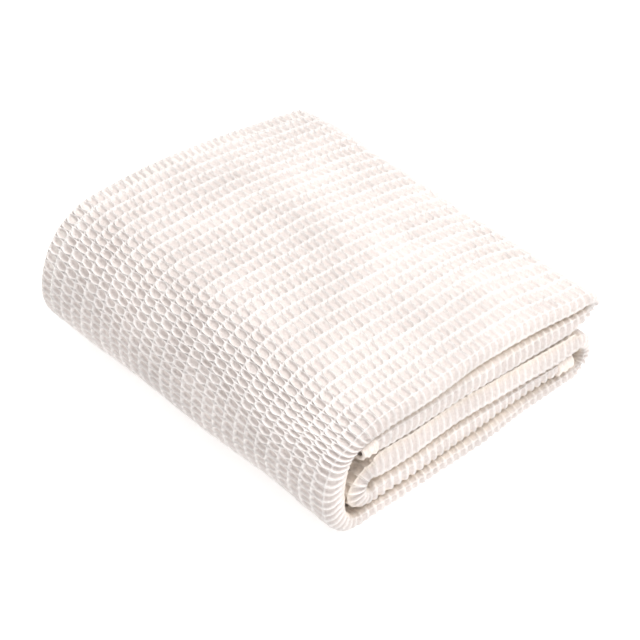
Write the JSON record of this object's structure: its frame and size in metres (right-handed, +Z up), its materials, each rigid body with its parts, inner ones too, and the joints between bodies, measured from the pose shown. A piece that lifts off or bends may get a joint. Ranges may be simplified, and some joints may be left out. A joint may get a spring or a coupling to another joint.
{
  "type": "folded throw blanket",
  "caption": "Waffle-weave cotton throw, folded lengthwise and then into layers with a rounded front fold, open on the layered side.",
  "frame": {"origin": "centre of the footprint on the surface the folded throw lies on", "axes": "+X along the folds towards the layered side, +Y from the rounded front fold to the back folds, +Z up"},
  "size_m": [0.33, 0.29, 0.1138],
  "materials": {
    "waffle_cotton": "undyed off-white cotton in a waffle weave, matt and slightly fuzzy",
    "hem_cotton": "the same cotton turned over twice and pressed",
    "sewing_thread": "soft-sheen cotton sewing thread",
    "label_satin": "blank woven satin tape"
  },
  "bodies": {
    "lower_half": {"lower_front_fold": "waffle_cotton", "bottom_layer": "waffle_cotton", "back_wrap": "waffle_cotton", "middle_layer": "waffle_cotton", "curl_fold": "waffle_cotton", "inner_layer": "waffle_cotton", "inner_end_hem": "hem_cotton", "inner_end_thread": "sewing_thread", "lower_side_hem": "hem_cotton", "lower_side_thread": "sewing_thread"},
    "upper_half": {"upper_front_fold": "waffle_cotton", "top_layer": "waffle_cotton", "back_fold": "waffle_cotton", "tucked_layer": "waffle_cotton", "tucked_end_hem": "hem_cotton", "tucked_end_thread": "sewing_thread", "upper_side_hem": "hem_cotton", "upper_side_thread": "sewing_thread", "care_label": "label_satin"}
  },
  "joints": [
    {"name": "front_fold_opening", "type": "hinge", "parent": "lower_half", "child": "upper_half", "pos_m": [0, -0.145, 0.0569], "axis": [1, 0, 0], "range_deg": [0, 180]}
  ]
}
